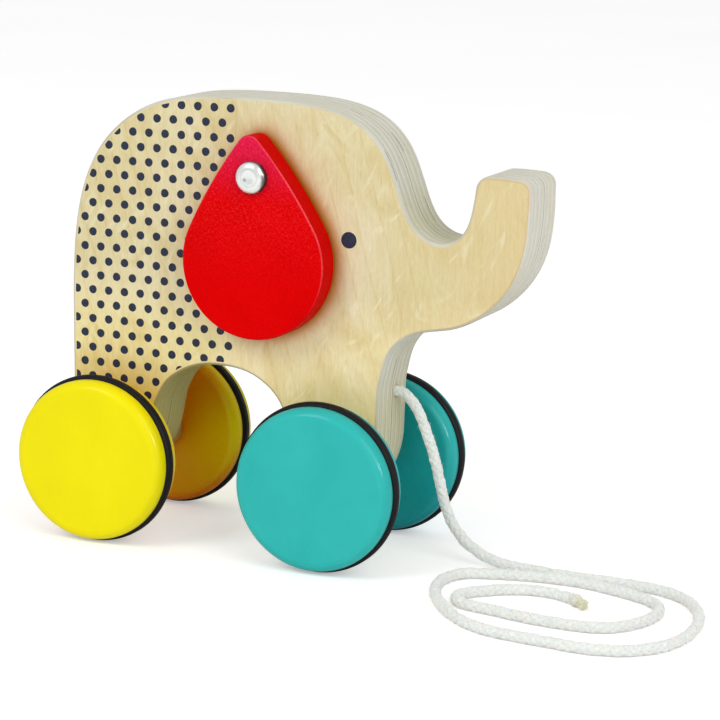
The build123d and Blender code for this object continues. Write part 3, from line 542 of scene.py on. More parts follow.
def wheel_lacquer(name, low, mid, high, deep, wheel, rough, coat):
    """Lacquer with the lathe's rings about the wheel's own axis."""
    mat = Material(name)
    base = lacquer_tone(mat, low, mid, high)[1]
    # painted shade: darker on the faces turned to the body, where no light falls
    inner = mat.fade(mat.math("ABSOLUTE", mat.place()["Y"]), 26.5, 22.5)
    painted_inner_shade = mat.times(mat.shelter(reach=30.0, full=0.40, none=1.0), inner)
    base = mat.mix(painted_inner_shade, base, deep)
    base, normal, peel = lacquer_surface(mat, base, low)
    place = mat.place()
    axis_x, axis_z = centre_xz(wheel)
    radius = mat.length(mat.math("SUBTRACT", place["X"], axis_x),
                        mat.math("SUBTRACT", place["Z"], axis_z))
    ring_coords = mat.new("CombineXYZ", {"X": mat.times(radius, 2.1)}).outputs["Vector"]
    rings = mat.noise(ring_coords, detail=3, rough=0.65)
    # the faint ridge where the flat face meets the shoulder, with a faint painted highlight along it
    ridge = mat.ring(radius, radius=21.7, width=0.55)
    normal = mat.bumps((rings, 0.025, 0.45), (ridge, 0.03, 0.4), normal=normal)
    pale = tuple(min(1.0, c * 1.15 + 0.10) for c in high[:3]) + (1,)
    base = mat.mix(mat.times(ridge, 0.05), base, pale)
    return finish_lacquer(mat, base, normal, peel, rough=rough, coat=coat, specular=0.07)


def rubber():
    """Moulded black band: matt bloom, fine grain and a little lint."""
    mat = Material("black_rubber")
    bloom = mat.noise((0.18, 0.4, 0.18), detail=3, rough=0.6)
    grain = mat.noise((5.0, 5.0, 5.0))
    lint = mat.noise((1.6, 4.0, 1.6), detail=1, rough=0.4)
    base = mat.ramp(bloom, (0.3, srgb(13, 11, 14)), (0.6, srgb(19, 17, 21)),
                    (0.8, srgb(27, 25, 29)))
    base = mat.mix(mat.fade(lint, 0.76, 0.82, to=(0.0, 0.3)), base, srgb(84, 82, 86))
    return mat.finish(Base_Color=base, Roughness=mat.fade(bloom, 0.3, 0.7, to=(0.50, 0.70)),
                      Normal=mat.bumps((grain, 0.03, 0.5)), Specular_IOR_Level=0.20)


def nickel():
    """Bright nickel plate with a rolled, slightly rippled head and fine scuffs."""
    mat = Material("nickel")
    ripple = mat.noise((0.55, 0.6, 0.55))
    scuff = mat.noise((7.0, 5.0, 0.8), detail=3, rough=0.6, turn=0.6)
    base = mat.ramp(ripple, (0.3, srgb(236, 240, 237)), (0.6, srgb(250, 252, 250)),
                    (0.8, srgb(254, 255, 254)))
    # a shallow ring and a small dull dent left by the setting tool
    place = mat.place()
    centre_x, centre_z = centre_xz("ear_rivet")
    dx = mat.math("SUBTRACT", place["X"], centre_x)
    dz = mat.math("SUBTRACT", place["Z"], centre_z)
    ring = mat.ring(mat.length(dx, dz), radius=2.5, width=0.32)
    base = mat.mix(mat.times(ring, 0.30), base, srgb(150, 154, 150))
    dent = mat.length(mat.math("ADD", dx, 1.25), mat.math("ADD", dz, 0.55))
    base = mat.mix(mat.fade(dent, 0.75, 0.35, to=(0.0, 0.55)), base, srgb(120, 128, 118))
    # painted reflection: the rolled rim grey, and a dark crescent on the side facing forward
    rim = mat.times(mat.fade(mat.math("ABSOLUTE", mat.facing("Y")), 0.78, 0.50), 0.80)
    base = mat.mix(rim, base, srgb(92, 92, 90))
    front = mat.times(mat.fade(mat.facing("X"), 0.42, 0.66), 0.85)
    base = mat.mix(front, base, srgb(62, 60, 58))
    return mat.finish(Base_Color=base, Roughness=mat.fade(scuff, 0.3, 0.7, to=(0.20, 0.26)),
                      Normal=mat.bumps((ripple, 0.05, 0.35), (scuff, 0.004, 0.2)), Metallic=0.72)


def nylon():
    """Natural nylon: milky, slightly see-through at the skin, moulding marks."""
    mat = Material("nylon")
    cloud = mat.noise((0.5, 0.5, 0.5), detail=3)
    mould = mat.noise((3.0, 0.5, 3.0))
    base = mat.ramp(cloud, (0.3, srgb(222, 219, 208)), (0.7, srgb(236, 234, 226)))
    # painted shade, tinted with the yellow of the wheels, on the rear pair low down
    place = mat.place()
    rear = mat.times(mat.fade(place["X"], -18.0, -24.0), mat.fade(place["Z"], 60.0, 50.0))
    base = mat.mix(mat.times(rear, 0.88), base, srgb(176, 128, 14))
    return mat.finish(Base_Color=base, Roughness=mat.fade(mould, 0.3, 0.7, to=(0.38, 0.5)),
                      Normal=mat.bumps((mould, 0.03, 0.4)), Subsurface_Weight=0.12,
                      Subsurface_Scale=0.0012, Specular_IOR_Level=0.45)


def cotton():
    """Undyed cotton yarn: fibres run along each strand, shaded in the gaps."""
    mat = Material("cotton_cord")
    along, around, strand = mat.attr("along"), mat.attr("around"), mat.attr("strand")
    yarn_coords = mat.new("CombineXYZ", {
        "X": mat.times(along, 0.9), "Y": mat.times(around, 7.0), "Z": mat.times(strand, 13.7)})
    yarn = mat.noise(yarn_coords.outputs["Vector"], detail=4, rough=0.62, distort=0.4)
    slow_coords = mat.new("CombineXYZ", {"X": mat.times(along, 0.06), "Y": strand})
    slow = mat.noise(slow_coords.outputs["Vector"], detail=3, rough=0.55)
    base = mat.ramp(yarn, (0.28, srgb(231, 227, 219)), (0.5, srgb(244, 241, 235)),
                    (0.74, srgb(252, 250, 246)))
    base = mat.mix(mat.fade(slow, 0.52, 0.74, to=(0.0, 0.30)), base, srgb(240, 236, 212))
    base = mat.mix(mat.times(mat.attr("core"), 0.7), base, srgb(222, 218, 202))
    base = mat.mix(mat.attr("tip"), base, srgb(222, 214, 168))
    return mat.finish(Base_Color=base, Normal=mat.bumps((yarn, 0.10, 0.55)), Roughness=0.88,
                      Specular_IOR_Level=0.15, Sheen_Weight=0.35, Sheen_Roughness=0.6,
                      Subsurface_Weight=0.18, Subsurface_Scale=0.0010)


FACE = birch_face()
EDGE = birch_edge()
INK = print_ink()
DOWEL = dowel_wood()
RUBBER = rubber()
NICKEL = nickel()
NYLON = nylon()
CORD = cotton()
RED = ear_lacquer()
# deep: the colour of the painted shade on the wheels' faces turned to the body
YELLOW = wheel_lacquer(
    "yellow_lacquer", low=srgb(240, 227, 0), mid=srgb(243, 230, 0), high=srgb(245, 233, 1),
    deep=srgb(214, 120, 0), wheel="wheel_rear_right", rough=0.32, coat=0.15)
TEAL = wheel_lacquer(
    "teal_lacquer", low=srgb(42, 180, 175), mid=srgb(46, 184, 179), high=srgb(51, 188, 183),
    deep=srgb(14, 140, 146), wheel="wheel_front_right", rough=0.30, coat=0.22)


# --- CAD parts that keep their shapes --------------------------------------
SINGLES = {"rear_axle": DOWEL, "front_axle": DOWEL, "ear_rivet": NICKEL, "ear_rivet_cap": NICKEL}
PAIRS = {
    "wheel_rear": YELLOW, "wheel_front": TEAL, "tyre_rear": RUBBER, "tyre_front": RUBBER,
    "axle_spacer_rear": NYLON, "axle_spacer_front": NYLON, "ear": RED, "ear_washer": NYLON,
}
kept = SINGLES | {f"{part}_{hand}": mat for part, mat in PAIRS.items()
                  for hand in ("right", "left")}
for node_name, mat in kept.items():
    slots = frame["nodes"][node_name].data.materials
    slots.clear()
    slots.append(mat)


# --- Plywood boards --------------------------------------------------------
BOARD_T = -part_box("body_board_right")[0].y / MM
EDGE_R = 1.1                            # rounding of the outer edge
SEAM = 0.2                              # chamfer at the joint of the two boards
PLIES = 7
PLY = BOARD_T / PLIES
BACK = BOARD_T - 0.004                  # depth of the glued face
AXLE_BORE_R, PIVOT_BORE_R = 3.07, 2.05
BORE_SIDES = 72
pivot = joint_place("ear_right_swing")
BORES = [(centre_xz("rear_axle"), AXLE_BORE_R), (centre_xz("front_axle"), AXLE_BORE_R),
         ((pivot.x, pivot.z), PIVOT_BORE_R)]

# length along the outline, and its outward normals, lightly smoothed
edge_lengths = np.linalg.norm(np.roll(OUTLINE, -1, 0) - OUTLINE, axis=1)
ARC = np.concatenate([[0], np.cumsum(edge_lengths)[:-1]])
PERIMETER = edge_lengths.sum()
tangent = unit(np.roll(OUTLINE, -1, 0) - np.roll(OUTLINE, 1, 0))
for _ in range(3):
    tangent = unit(tangent + 0.5 * (np.roll(tangent, 1, 0) + np.roll(tangent, -1, 0)))
NORMAL = np.stack([tangent[:, 1], -tangent[:, 0]], 1)

# the print: staggered rows of dots, and the eye
ROW_X = np.array([0.99993, 0.0121])     # direction of the rows, barely tilted
ROW_Z = np.array([-ROW_X[1], ROW_X[0]])
FIRST_DOT = np.array([-26.92, 84.10])
COLUMN_PITCH, ROW_PITCH = 2.5935, 4.297
DOT_R, EYE_R = 1.25, 2.36
EYE = (36.0, 92.87)
PRINT_MARGIN = EDGE_R + 0.10            # least distance from print to outline
DOT_OVERHANG = 0.55                     # how far past the margin a dot's centre may lie
BORE_GAP = 0.3                          # from a dot to a bore


def depth_inside(point):
    """Distance from the point to the outline, positive inside, and the inward direction."""
    offset = OUTLINE - point
    i = int(np.argmin((offset**2).sum(1)))
    return float(offset[i] @ NORMAL[i]), -NORMAL[i]


def dot_outline(centre, column):
    """A slightly uneven dot, pushed in where it would cross the margin."""
    ring = []
    for angle in np.linspace(0, 2 * math.pi, 22, endpoint=False):
        radius = DOT_R * (1 + 0.02 * math.sin(3 * angle + column))
        point = centre + radius * np.array([math.cos(angle), math.sin(angle)])
        depth, inward = depth_inside(point)
        if depth < PRINT_MARGIN:
            point = point + inward * (PRINT_MARGIN - depth)
        ring.append(point)
    return np.array(ring)


def printed_shapes():
    shapes = []
    for row in range(-11, 17):
        for column in range(-13, 11):
            if (column + row) % 2:
                continue
            centre = FIRST_DOT + column * COLUMN_PITCH * ROW_X - row * ROW_PITCH * ROW_Z
            if depth_inside(centre)[0] < PRINT_MARGIN - DOT_OVERHANG:
                continue
            if any(np.hypot(*(centre - np.array(bore))) < radius + DOT_R + BORE_GAP
                   for bore, radius in BORES):
                continue
            shapes.append(dot_outline(centre, column))
    return shapes + [circle(EYE, EYE_R, 48)]


PRINT = printed_shapes()


def contains(loop, points):
    """Which of the points lie inside the loop."""
    x, z = points[:, 0], points[:, 1]
    hit = np.zeros(len(points), bool)
    for (x1, z1), (x2, z2) in zip(loop, np.roll(loop, -1, 0)):
        if z1 != z2:
            hit ^= ((z1 > z) != (z2 > z)) & (x < (x2 - x1) * (z - z1) / (z2 - z1) + x1)
    return hit


def fill(points, loops):
    """Triangles over the flat area inside the first loop and outside the bores,
    anticlockwise in X-Z."""
    edges = []
    for loop in loops:
        edges += zip(loop, loop[1:] + loop[:1])
    verts, _, tris, origins, _, _ = delaunay_2d_cdt(
        [Vector(p) for p in points], edges, [], 1, 1e-5)
    index = [origin[0] if len(origin) else -1 for origin in origins]
    kept_tris = []
    for tri in tris:
        if any(index[i] < 0 for i in tri):
            continue
        a, b, c = (np.array(verts[i]) for i in tri)
        area = (b[0] - a[0]) * (c[1] - a[1]) - (b[1] - a[1]) * (c[0] - a[0])
        if abs(area) < 1e-9:
            continue
        middle = (a + b + c) / 3
        if any(np.hypot(*(middle - np.array(q))) < r * 0.999 for q, r in BORES):
            continue
        ids = [index[i] for i in tri]
        kept_tris.append(ids if area > 0 else ids[::-1])
    return kept_tris


def cap(verts, loops):
    """Triangles between loops of vertex numbers that lie in one plane."""
    ids = [i for loop in loops for i in loop]
    local = {vert: i for i, vert in enumerate(ids)}
    tris = fill(verts[ids][:, [0, 2]], [[local[i] for i in loop] for loop in loops])
    return [[ids[i] for i in tri] for tri in tris]


# open voids in the edge, by side (-1 right, 1 left):
# X, Z, half length, depth from the outer face, half width, how deep
VOIDS = {
    -1: [(47.3, 114.6, 4.6, 1.55, 0.24, 0.75), (33.4, 127.9, 2.4, 9.4, 0.16, 0.30),
         (60.0, 69.0, 2.0, 4.6, 0.14, 0.3), (47.2, 55.6, 3.6, 9.5, 0.16, 0.35),
         (-51.2, 96.0, 2.6, 6.2, 0.15, 0.3)],
    1: [(34.6, 127.5, 3.2, 6.7, 0.20, 0.45), (44.6, 119.8, 3.6, 7.6, 0.18, 0.40),
        (53.6, 101.0, 4.2, 4.5, 0.16, 0.35), (87.9, 92.0, 3.0, 6.4, 0.15, 0.3),
        (-46.0, 108.0, 3.0, 3.1, 0.16, 0.3)],
}
# rings about each glue line: offset in depth, amount of glue
GLUE_RINGS = ((-0.34, 0.0), (-0.13, 0.10), (-0.05, 1.0), (0.05, 1.0), (0.13, 0.10), (0.34, 0.0))
GLUE_GROOVE = 0.035
EDGE_VALUES = ("arris", "burnish", "glue", "end_grain", "seam", "void")
VENEER_STRIPS = 2                       # strips of the rounding still in face veneer


def edge_rings(side):
    """Rings from the outer face to the glued face, each (depth, inset, arris,
    burnish, glue, end grain, seam), and the depths of the glue lines."""
    rng = np.random.default_rng(40 + side)
    lines = [PLY * i + rng.uniform(-0.09, 0.09) for i in range(1, PLIES)]
    sink = [0.0] + [(0.035 if i % 2 else 0.0) + rng.uniform(0, 0.012) for i in range(1, PLIES)]
    rings = []
    for degrees in (0, 8, 17, 27, 38, 50, 62, 74, 84, 90):
        angle = math.radians(degrees)
        arris = math.sin(2 * angle) if degrees < 89 else 0.0
        rings.append((EDGE_R * (1 - math.cos(angle)), EDGE_R * (1 - math.sin(angle)), arris,
                      max(0.0, 1 - abs(degrees - 17) / 14), 0, 0, 0))
    for i, line in enumerate(lines):
        if i > 0:
            rings.append(((lines[i - 1] + line) / 2, sink[i], 0, 0, 0, i % 2, 0))
        groove = max(sink[i], sink[i + 1]) + GLUE_GROOVE
        for offset, glue in GLUE_RINGS:
            ply = i if offset < 0 else i + 1
            inset = groove if glue == 1.0 else sink[ply]
            rings.append((line + offset, inset, 0, 0, glue, ply % 2, 0))
    last = sink[-1]
    rings += [
        ((lines[-1] + BOARD_T) / 2, last, 0, 0, 0, 0, 0),
        (BOARD_T - SEAM - 0.18, last, 0, 0, 0, 0, 0),
        (BOARD_T - SEAM, last + 0.01, 0, 0, 0.3, 0, 0.12),
        (BOARD_T - SEAM * 0.45, SEAM * 0.55, 0, 0, 0, 0, 0.85),
        (BACK, SEAM, 0, 0, 0, 0, 1.0),
    ]
    return rings, lines


def void_cut(side, lines, depth, ring_number):
    """How far the voids, each moved to its nearest glue line, cut into one ring."""
    cut = np.zeros(len(OUTLINE))
    for x, z, half_length, void_depth, half_width, deepest in VOIDS[side]:
        middle = ARC[int(np.argmin(((OUTLINE - (x, z)) ** 2).sum(1)))]
        line = min(lines, key=lambda line: abs(line - void_depth))
        along = np.abs(ARC - middle)
        along = np.minimum(along, PERIMETER - along) / half_length
        across = abs(depth - line) / half_width
        ragged = 0.75 + 0.25 * np.sin(ARC * 2.3 + ring_number)
        cut = np.maximum(cut, deepest * np.sqrt(np.clip(1 - along**2, 0, 1))
                         * max(0.0, 1 - across**2) * ragged)
    return cut


def build_board(side):
    """side -1 is the right board, +1 the left.  Depth runs from the outer face
    (0) to the glued face."""
    count = len(OUTLINE)
    rings, lines = edge_rings(side)
    parts, faces, mat_ids, smooth = [], [], [], []
    values = {key: [] for key in EDGE_VALUES}

    def add_loop(points, depth):
        start = sum(map(len, parts))
        y = np.full(len(points), side * (BOARD_T - depth))
        parts.append(np.stack([points[:, 0], y, points[:, 1]], 1))
        return list(range(start, start + len(points)))

    def add_face(face, mat_id, is_smooth):
        faces.append(tuple(face))
        mat_ids.append(mat_id)
        smooth.append(is_smooth)

    edge = []
    for j, (depth, inset, arris, burnish, glue, end_grain, seam) in enumerate(rings):
        rough = 0
        if 0.99 < depth < BOARD_T - 0.3:
            rough = 0.010 * waves(ARC, PERIMETER, shortest=2.0, longest=14.0, count=9,
                                  seed=300 * (side + 2) + j)
        cut = void_cut(side, lines, depth, j)
        shift = inset + rough + cut
        edge.append(add_loop(OUTLINE - NORMAL * shift[:, None], depth))
        patchy = 0.62 + 0.38 * waves(ARC, PERIMETER, shortest=9.0, longest=60.0, count=6,
                                     seed=900 + 17 * j + side)
        levels = (arris, burnish, np.clip(glue * patchy, 0, 1), end_grain, seam,
                  np.clip(cut / 0.22, 0, 1))
        for key, level in zip(EDGE_VALUES, levels):
            values[key].append(np.full(count, level, float))
    for j, (a, b) in enumerate(zip(edge, edge[1:])):
        for i in range(count):
            k = (i + 1) % count
            quad = (a[i], b[i], b[k], a[k]) if side < 0 else (a[i], a[k], b[k], b[i])
            add_face(quad, 0 if j < VENEER_STRIPS else 1, True)

    bores = []
    for centre, radius in BORES:
        ring = circle(centre, radius, BORE_SIDES)
        outer, inner = add_loop(ring, 0.0), add_loop(ring, BACK)
        bores.append((outer, inner))
        for i in range(BORE_SIDES):
            k = (i + 1) % BORE_SIDES
            quad = (outer[i], outer[k], inner[k], inner[i])
            add_face(quad if side < 0 else quad[::-1], 1, True)
    dots = [add_loop(shape, 0.0) for shape in PRINT]
    verts = np.concatenate(parts)

    # outer face, with the print as its own faces
    tris = cap(verts, [edge[0]] + [outer for outer, _ in bores] + dots)
    middles = np.array([verts[tri][:, [0, 2]].mean(0) for tri in tris])
    inked = np.zeros(len(tris), bool)
    for shape in PRINT:
        within = (middles > shape.min(0)) & (middles < shape.max(0))
        near = np.where(within.all(1))[0]
        inked[near] |= contains(shape, middles[near])
    for tri, is_ink in zip(tris, inked):
        add_face(tri if side < 0 else tri[::-1], 2 if is_ink else 0, False)
    # glued face
    for tri in cap(verts, [edge[-1]] + [inner for _, inner in bores]):
        add_face(tri[::-1] if side < 0 else tri, 1, False)

    pad = np.zeros(len(verts) - count * len(rings))
    attrs = {key: np.concatenate(levels + [pad]) for key, levels in values.items()}
    name = "plywood_board_" + ("right" if side < 0 else "left")
    return make_object(name, verts, faces, [FACE, EDGE, INK], mat_ids, smooth, attrs)


board_right, board_left = build_board(-1), build_board(1)

# blind hole for the cord in the left board's front leg
cord_lo, cord_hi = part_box("cord_anchor")
HOLE_Y = (cord_lo.y + cord_hi.y) / 2 / MM
HOLE_Z = (cord_lo.z + cord_hi.z) / 2 / MM
CORD_R = (cord_hi.z - cord_lo.z) / 2 / MM
LEG_X = float(OUTLINE[np.abs(OUTLINE[:, 1] - HOLE_Z) < 1.5][:, 0].max())


def drill(board):
    count = 64
    ring = circle((HOLE_Y, HOLE_Z), CORD_R + 0.10, count)
    verts = [(x, y, z) for x in (cord_lo.x / MM, LEG_X + 3.0) for y, z in ring]
    faces = [(i, (i + 1) % count, count + (i + 1) % count, count + i) for i in range(count)]
    faces += [tuple(reversed(range(count))), tuple(range(count, 2 * count))]
    cutter = make_object("cutter", verts, faces, [EDGE])
    cut = board.modifiers.new("hole", "BOOLEAN")
    cut.operation, cut.solver, cut.object = "DIFFERENCE", "EXACT", cutter
    depsgraph = bpy.context.evaluated_depsgraph_get()
    mesh = bpy.data.meshes.new_from_object(board.evaluated_get(depsgraph))
    board.modifiers.clear()
    # keeps the undrilled board if the boolean lost much of the mesh
    if len(mesh.polygons) > 0.9 * len(board.data.polygons):
        board.data = mesh
    bpy.data.objects.remove(cutter)


drill(board_left)
for board, node in ((board_right, "body_board_right"), (board_left, "body_board_left")):
    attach(board, "body")
    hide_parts(node)


# --- Cord: a round braid of eight strands over a soft core -----------------
def arc_lengths(points):
    return np.concatenate([[0], np.cumsum(np.linalg.norm(np.diff(points, axis=0), axis=1))])


def spline(points, count):
    """A natural cubic spline through the points, as count even steps: places
    and lengths along it."""
    knots = np.array(points, float)
    params = arc_lengths(knots)
    total, gaps = len(knots), np.diff(params)
    system = np.zeros((total, total))
    target = np.zeros((total, 3))
    system[0, 0] = system[-1, -1] = 1
    for i in range(1, total - 1):
        before, after = gaps[i - 1], gaps[i]
        system[i, i - 1:i + 2] = before, 2 * (before + after), after
        target[i] = 6 * ((knots[i + 1] - knots[i]) / after - (knots[i] - knots[i - 1]) / before)
    bend = np.linalg.solve(system, target)

    def at(param):
        i = np.clip(np.searchsorted(params, param) - 1, 0, total - 2)
        t = (param - params[i])[:, None]
        gap = gaps[i][:, None]
        slope = (knots[i + 1] - knots[i]) / gap - gap * (2 * bend[i] + bend[i + 1]) / 6
        return (knots[i] + t * slope + t**2 * bend[i] / 2
                + t**3 * (bend[i + 1] - bend[i]) / (6 * gap))

    fine = np.linspace(0, params[-1], count * 4)
    arc = arc_lengths(at(fine))
    even = np.linspace(0, arc[-1], count)
    return at(np.interp(even, arc, fine)), even


SWIVEL = joint_place("cord_lift")
TOUCH = joint_place("cord_coil_level")
REST_Z = CORD_R
# the cord's centre line: X, Y, Z from inside the leg, down to the floor
ANCHOR = [(LEG_X - 9.0, HOLE_Y, HOLE_Z), (LEG_X - 4.5, HOLE_Y, HOLE_Z),
          (LEG_X - 0.6, HOLE_Y, HOLE_Z + 0.02), (LEG_X + 1.5, HOLE_Y, HOLE_Z - 0.15),
          (SWIVEL.x + 0.5, HOLE_Y, HOLE_Z - 1.0)]
LEAD = [(52.9, 2.6, 44.0), (56.2, 2.6, 37.3), (58.7, 2.6, 31.0), (60.6, 2.6, 24.4),
        (62.4, 2.6, 17.8), (65.0, 2.5, 11.8), (69.6, 2.2, 6.6), (76.8, 1.4, 2.9),
        (TOUCH.x, TOUCH.y, TOUCH.z)]
# then X, Y of the spiral lying on the floor
COIL = [
    (97.5, -0.9), (108.5, -1.1), (118.5, -0.8), (127.6, -1.8), (136.0, -5.8), (142.8, -14.0),
    (147.0, -25.4), (148.2, -36.8), (146.6, -47.6), (141.8, -56.4), (134.2, -61.8),
    (125.2, -63.3), (115.6, -62.5), (106.4, -61.6), (98.4, -60.0), (90.8, -55.8), (83.6, -48.8),
    (77.2, -39.6), (73.0, -29.3), (72.2, -19.6), (75.4, -12.6), (81.6, -9.6), (89.9, -7.1),
    (99.6, -5.6), (109.5, -5.9), (118.8, -8.6), (127.0, -12.0), (133.0, -17.0), (135.2, -25.6),
    (132.8, -35.6), (127.2, -42.8), (119.6, -45.3), (111.2, -45.3), (103.0, -44.4), (95.0, -42.6),
    (87.4, -41.2), (82.2, -38.2), (81.3, -32.9), (85.2, -27.2), (91.2, -22.1), (98.4, -19.3),
    (105.6, -20.0), (111.0, -22.6), (115.4, -27.0),
]
CENTRE, ALONG = spline(ANCHOR + LEAD + [(x, y, REST_Z) for x, y in COIL], 1900)
CENTRE[:, 2] = np.maximum(CENTRE[:, 2], REST_Z)
LENGTH = ALONG[-1]

# two directions across the cord that don't twist along the curve
TANGENT = unit(np.gradient(CENTRE, axis=0))
CROSS_A = np.zeros_like(TANGENT)
across = np.cross(TANGENT[0], (0, 0, 1.0))
for i, direction in enumerate(TANGENT):
    across = across - (across @ direction) * direction
    across /= np.linalg.norm(across)
    CROSS_A[i] = across
CROSS_B = np.cross(TANGENT, CROSS_A)

BRAID_PITCH = 10.5
STRAND_HALF_W, STRAND_HALF_H = 0.78, 0.40
BRAID_R, WEAVE = 1.10, 0.10             # strands' distance from the centre, and its swing
CORE_R = 1.22
TUBE_SIDES = 10
TUBE_ANGLES = np.linspace(0, 2 * math.pi, TUBE_SIDES, endpoint=False)
HAIR_ANGLES = np.array([0, 2.094, 4.189])
HAIR_RADII = np.array([0.045, 0.042, 0.036, 0.028, 0.014])


def thickness(s):
    """Scale of the cord's radius: hand-made unevenness, then the bound and frayed tip."""
    scale = (1 + 0.020 * waves(s, LENGTH, shortest=5, longest=30, count=8, seed=5)
             + 0.016 * waves(s, LENGTH, shortest=1.6, longest=4, count=9, seed=6))
    tip = LENGTH - s
    scale = scale * (1 - 0.42 * np.exp(-(((tip - 2.9) / 0.9) ** 2)))   # narrow neck
    scale = scale * (1 + 0.13 * np.exp(-(((tip - 5.2) / 1.0) ** 2)))   # opens above the neck
    end = np.clip(tip / 1.3, 0, 1)
    return scale * np.sqrt(np.clip(1 - (1 - end) ** 2, 0.0004, 1))     # rounded bulb


class Tubes:
    """Closed tubes gathered into one mesh, with values for each vertex."""

    def __init__(self):
        self.verts, self.faces = [], []
        self.values = {key: [] for key in ("along", "around", "strand", "core", "tip")}

    def add(self, centre, axis_a, axis_b, radius_a, radius_b, angles, **values):
        start = sum(map(len, self.verts))
        rings, sides = len(centre), len(angles)
        points = (centre[:, None]
                  + axis_a[:, None] * (np.cos(angles)[None, :, None] * radius_a[:, None, None])
                  + axis_b[:, None] * (np.sin(angles)[None, :, None] * radius_b[:, None, None]))
        self.verts.append(points.reshape(-1, 3))
        for key, value in values.items():
            self.values[key].append(np.broadcast_to(value, (rings, sides)).ravel())
        for ring in range(rings - 1):
            a = start + ring * sides
            b = a + sides
            for j in range(sides):
                k = (j + 1) % sides
                self.faces.append((a + j, a + k, b + k, b + j))
        self.faces.append(tuple(start + j for j in reversed(range(sides))))
        self.faces.append(tuple(start + (rings - 1) * sides + j for j in range(sides)))


def add_hair(tubes, rng, spot, centre, cross_a, cross_b, along, scale):
    """A short fine hair lifted off the strands."""
    angle = rng.uniform(0, 2 * math.pi)
    out = cross_a * math.cos(angle) + cross_b * math.sin(angle)
    near_tip = spot > LENGTH - 7
    length = rng.uniform(0.7, 1.6)
    lean = along * rng.uniform(-1, 1) + np.cross(along, out) * rng.uniform(-0.7, 0.7)
    root = centre + out * (CORD_R * 0.88 * scale)
    lift = 1.7 if near_tip else 1.0
    line = [root]
    for q in range(1, 5):
        x = q / 4
        line.append(root + out * length * (0.30 * x + 0.12 * x * x) * lift
                    + lean * length * x * 0.62)
    line = np.array(line)
    line[:, 2] = np.maximum(line[:, 2], 0.08)
    path = unit(np.gradient(line, axis=0), guard=1e-9)
    side = unit(np.cross(path, out + 0.01), guard=1e-9)
    radii = HAIR_RADII * (1.5 if near_tip else 1.0)
    tubes.add(line, side, np.cross(path, side), radii, radii, HAIR_ANGLES, along=spot,
              around=0.5, strand=11.0, core=0.0, tip=0.35 if near_tip else 0.0)


def braid(first, last, name):
    """Strands, core and loose hairs between two steps of the curve."""
    steps = slice(first, last + 1)
    s, cross_a, cross_b = ALONG[steps], CROSS_A[steps], CROSS_B[steps]
    scale = thickness(s)
    wobble = [0.075 * waves(s, LENGTH, shortest=3, longest=12, count=6, seed=seed)[:, None]
              for seed in (61, 62)]
    middle = CENTRE[steps] + cross_a * wobble[0] + cross_b * wobble[1]
    tubes = Tubes()
    shared = {"along": s[:, None], "around": np.abs(np.linspace(-1, 1, TUBE_SIDES)),
              "tip": np.clip(1 - (LENGTH - s - 2.0) / 3.5, 0, 0.75)[:, None]}

    # four strands wind each way
    for k in range(8):
        way = 1 if k < 4 else -1
        angle = way * 2 * math.pi * s / BRAID_PITCH + (k % 4) * math.pi / 2
        distance = (BRAID_R + way * WEAVE * np.cos(4 * angle)) * scale
        radial = cross_a * np.cos(angle)[:, None] + cross_b * np.sin(angle)[:, None]
        centre = middle + radial * distance[:, None]
        path = unit(np.gradient(centre, axis=0))
        side = unit(np.cross(path, radial))
        full = 1 + 0.13 * waves(s, LENGTH, shortest=1.4, longest=7, count=9, seed=70 + k)
        lift = 0.07 * waves(s, LENGTH, shortest=1.6, longest=6, count=9, seed=90 + k)
        tubes.add(centre + radial * lift[:, None], radial, side, STRAND_HALF_H * scale * full,
                  STRAND_HALF_W * scale * full, TUBE_ANGLES, strand=k, core=0.0, **shared)
    tubes.add(middle, cross_a, cross_b, CORE_R * scale, CORE_R * scale, TUBE_ANGLES,
              strand=9, core=1.0, **shared)

    # loose hairs, thicker about the tip
    rng = np.random.default_rng(first + 3)
    hairs = int((s[-1] - s[0]) * 2.4)
    spots = list(rng.uniform(s[0] + 0.5, s[-1] - 0.5, hairs))
    if last == len(ALONG) - 1:
        spots += list(rng.uniform(LENGTH - 6.6, LENGTH - 3.9, 46))
        spots += list(rng.uniform(LENGTH - 1.0, LENGTH - 0.2, 14))
    for spot in spots:
        j = min(len(s) - 2, max(1, int(np.searchsorted(s, spot))))
        add_hair(tubes, rng, spot, middle[j], cross_a[j], cross_b[j], TANGENT[steps][j], scale[j])

    verts = np.concatenate(tubes.verts)
    verts[:, 2] = np.maximum(verts[:, 2], 0.03)
    return make_object(name, verts, tubes.faces, [CORD],
                       attrs={key: np.concatenate(v) for key, v in tubes.values.items()})


def nearest(point):
    return int(np.argmin(((CENTRE - np.array(point)) ** 2).sum(1)))


# The braid is cut half way down the hanging length, where nothing bends, and again just past the
# bend at the floor, so that the turns of the spiral that come back beside the bend stay flat.
split = nearest(LEAD[3])
past = nearest((*COIL[0], REST_Z))
cord_top = braid(0, split, "cord_braid_upper")
cord_rest = braid(split, past, "cord_braid_lower")
cord_flat = braid(past, len(ALONG) - 1, "cord_braid_spiral")
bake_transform(cord_top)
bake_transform(cord_rest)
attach(cord_flat, "cord_on_floor")
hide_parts("cord_anchor", "cord_lead")
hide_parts("cord_lead", "cord_coil")
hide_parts("cord_coil")


# --- Floor, light and camera -----------------------------------------------
def floor_paper():
    """White paper, lifted a little where the camera sees it."""
    mat = Material("floor_paper")
    tone = mat.noise((0.004, 0.004, 0.004))
    seen = mat.new("LightPath").outputs["Is Camera Ray"]
    base = mat.ramp(tone, (0.3, (0.90, 0.90, 0.90, 1)), (0.7, (0.92, 0.92, 0.92, 1)))
    return mat.finish(Base_Color=base, Roughness=0.9, Specular_IOR_Level=0.0,
                      Emission_Color=(1, 1, 1, 1), Emission_Strength=mat.times(seen, 0.37))


